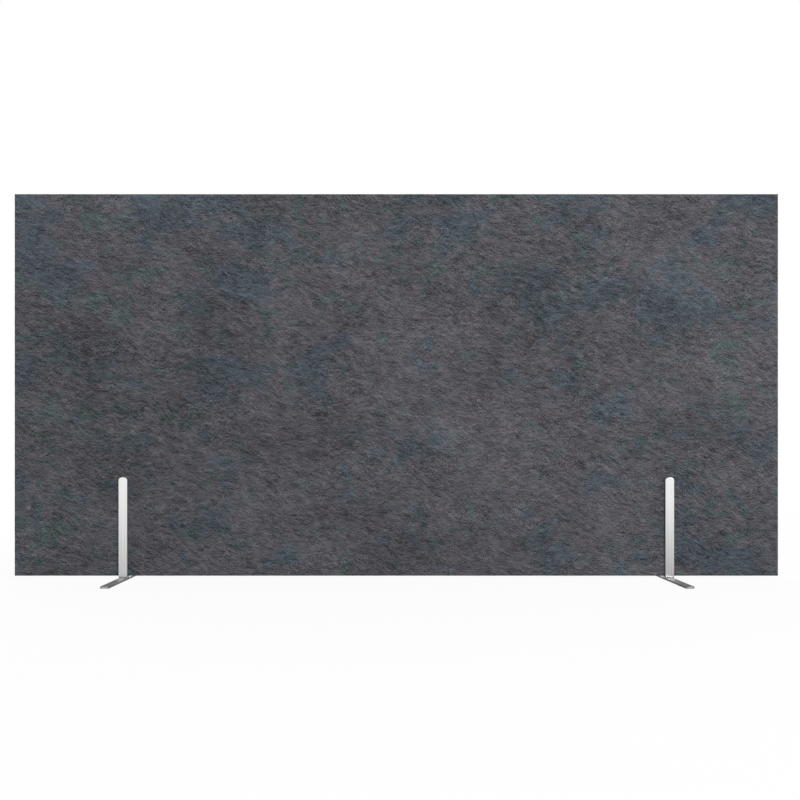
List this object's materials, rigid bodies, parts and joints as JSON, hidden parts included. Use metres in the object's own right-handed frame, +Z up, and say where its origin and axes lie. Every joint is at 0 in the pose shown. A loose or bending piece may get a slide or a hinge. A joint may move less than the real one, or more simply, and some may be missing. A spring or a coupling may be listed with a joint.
{
  "type": "acoustic divider screen",
  "caption": "Free-standing felt divider screen: a wide rectangular acoustic board held upright by narrow slip-on metal feet with long flat legs front and back.",
  "frame": {"origin": "on the floor, midway along the board and midway through its thickness", "axes": "+X along the board to the right as seen from the front, +Y to the rear, +Z up"},
  "size_m": [1.2, 0.24, 0.6069],
  "materials": {
    "felt": "needled felt, matt, heathered charcoal",
    "foot_metal": "satin, grain along the strip",
    "screw_steel": "zinc plated",
    "pad_rubber": "matt black"
  },
  "bodies": {
    "board": {"felt_board": "felt"},
    "left_foot": {"left_clip": "foot_metal", "left_base_bar": "foot_metal", "left_screws": "screw_steel", "left_front_pad": "pad_rubber", "left_rear_pad": "pad_rubber"},
    "right_foot": {"right_clip": "foot_metal", "right_base_bar": "foot_metal", "right_screws": "screw_steel", "right_front_pad": "pad_rubber", "right_rear_pad": "pad_rubber"}
  },
  "joints": [
    {"name": "left_foot_slide", "type": "slide", "parent": "board", "child": "left_foot", "axis": [1, 0, 0], "range_m": [-0.16, 0.4]},
    {"name": "right_foot_slide", "type": "slide", "parent": "board", "child": "right_foot", "axis": [-1, 0, 0], "range_m": [-0.16, 0.4]}
  ]
}
